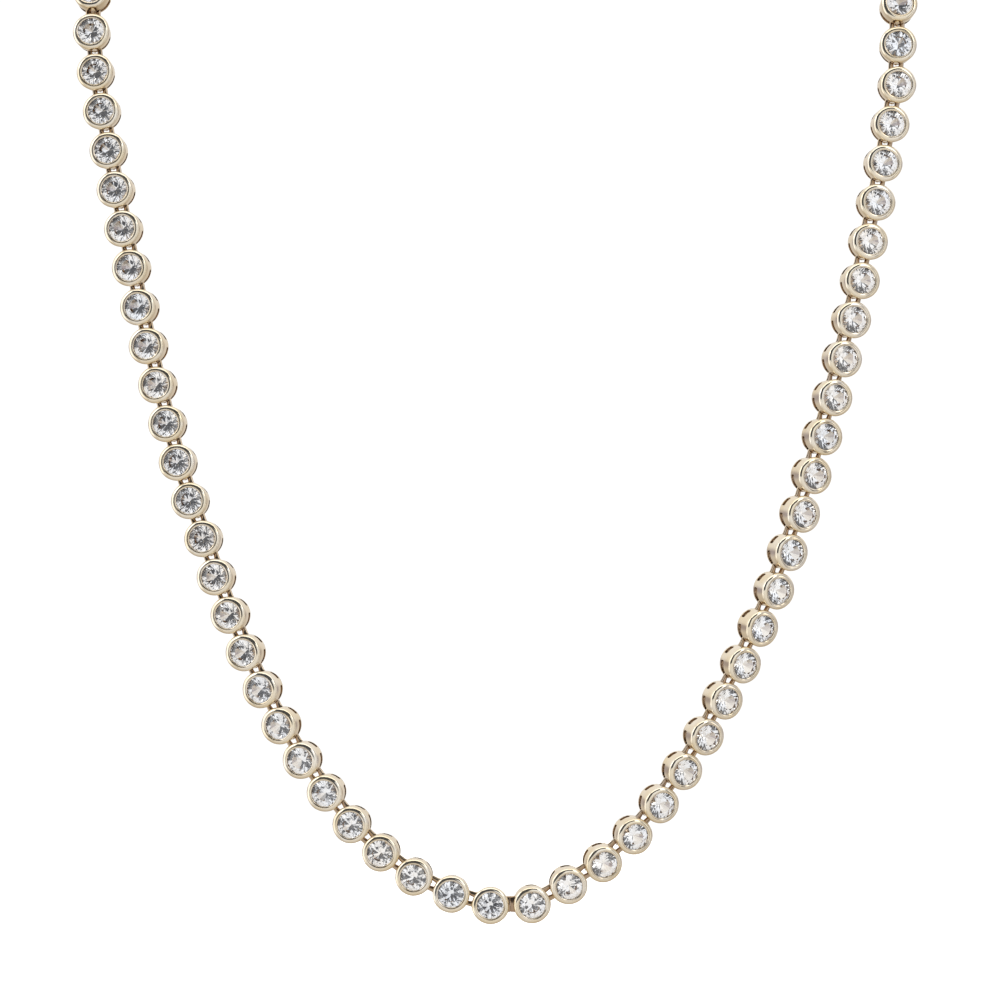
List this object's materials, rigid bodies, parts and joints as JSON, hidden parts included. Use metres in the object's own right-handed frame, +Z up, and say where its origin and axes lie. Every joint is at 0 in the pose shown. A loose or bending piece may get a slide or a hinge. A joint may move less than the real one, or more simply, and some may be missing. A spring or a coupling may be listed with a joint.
{
  "type": "riviere necklace",
  "caption": "Riviere necklace: a single row of equal round stones in bezel collets, hinged link to link, hung as worn and closed by a plain clasp.",
  "frame": {"origin": "middle of the back of the loop, at the nape of the neck, where the necklace hangs", "axes": "+Z up, -Y the way the wearer and the lowest stones face, +X to the right seen from the front"},
  "size_m": [0.1066, 0.0775, 0.1458],
  "materials": {
    "gold_left": "polished pale yellow gold",
    "gold_right": "polished pale yellow gold",
    "stone_left": "clear cut stone, polished facets",
    "stone_right": "clear cut stone, polished facets",
    "clasp_gold": "polished pale yellow gold"
  },
  "bodies": {
    "root": {"collets_left": "gold_left", "collets_right": "gold_right", "stones_left": "stone_left", "stones_right": "stone_right", "clasp": "clasp_gold"}
  },
  "joints": []
}
